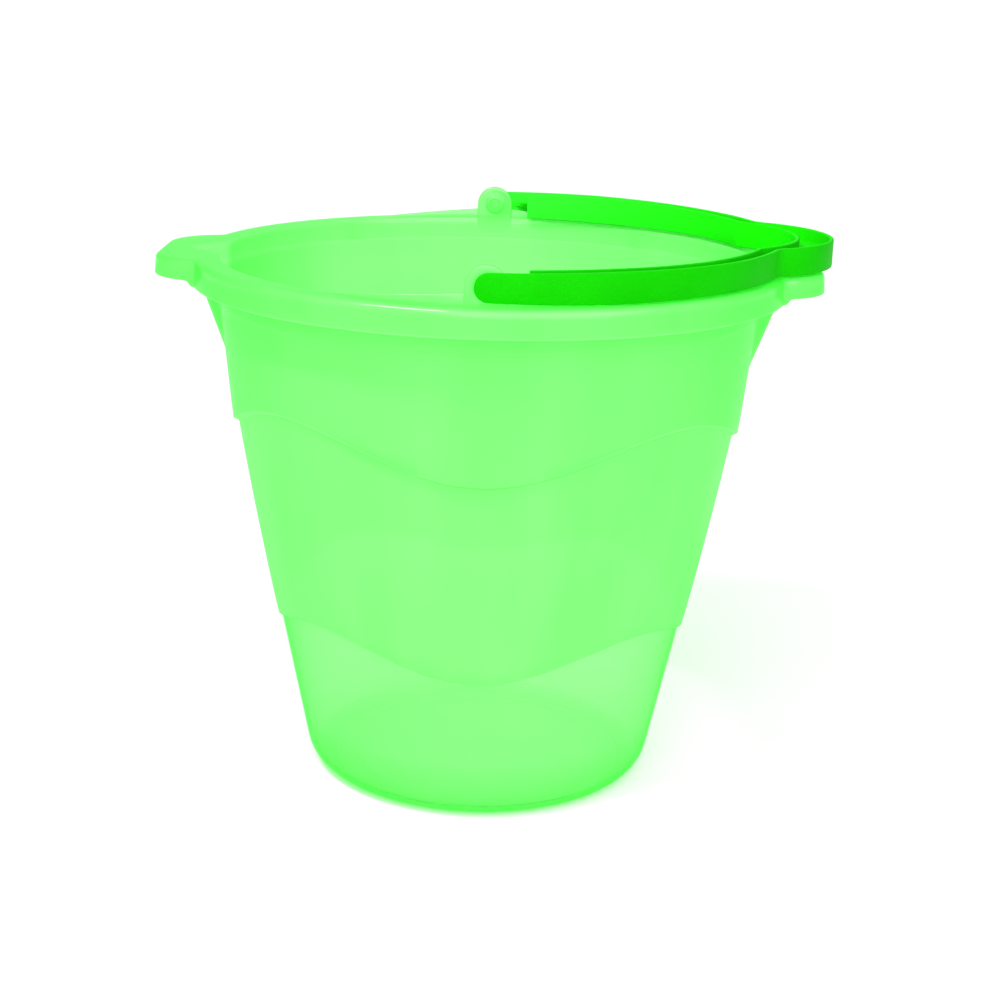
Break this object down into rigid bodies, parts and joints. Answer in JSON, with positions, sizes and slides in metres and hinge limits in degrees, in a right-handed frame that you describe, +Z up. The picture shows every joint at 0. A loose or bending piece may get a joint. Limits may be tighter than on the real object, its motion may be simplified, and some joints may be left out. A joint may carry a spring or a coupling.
{
  "type": "bucket",
  "caption": "Round tapered plastic bucket with wavy steps in its wall, a pouring lip at each side and a bail handle that swings on ears over the rim.",
  "frame": {"origin": "centre of the base, on the plane that the foot ring stands on", "axes": "+Z up along the bucket's axis, X through the two pouring lips with the bail handle lying towards +X, Y along the handle's pivot axis"},
  "size_m": [0.3258, 0.2886, 0.277],
  "materials": {
    "bucket_plastic": "translucent light green polypropylene, smooth, semi-gloss",
    "handle_plastic": "opaque bright green polypropylene, smooth, semi-gloss"
  },
  "bodies": {
    "bucket": {"bucket": "bucket_plastic"},
    "bail": {"bail_handle": "handle_plastic"}
  },
  "joints": [
    {"name": "bail_swing", "type": "hinge", "parent": "bucket", "child": "bail", "pos_m": [0, 0, 0.2677], "axis": [0, -1, 0], "range_deg": [0, 180]}
  ]
}
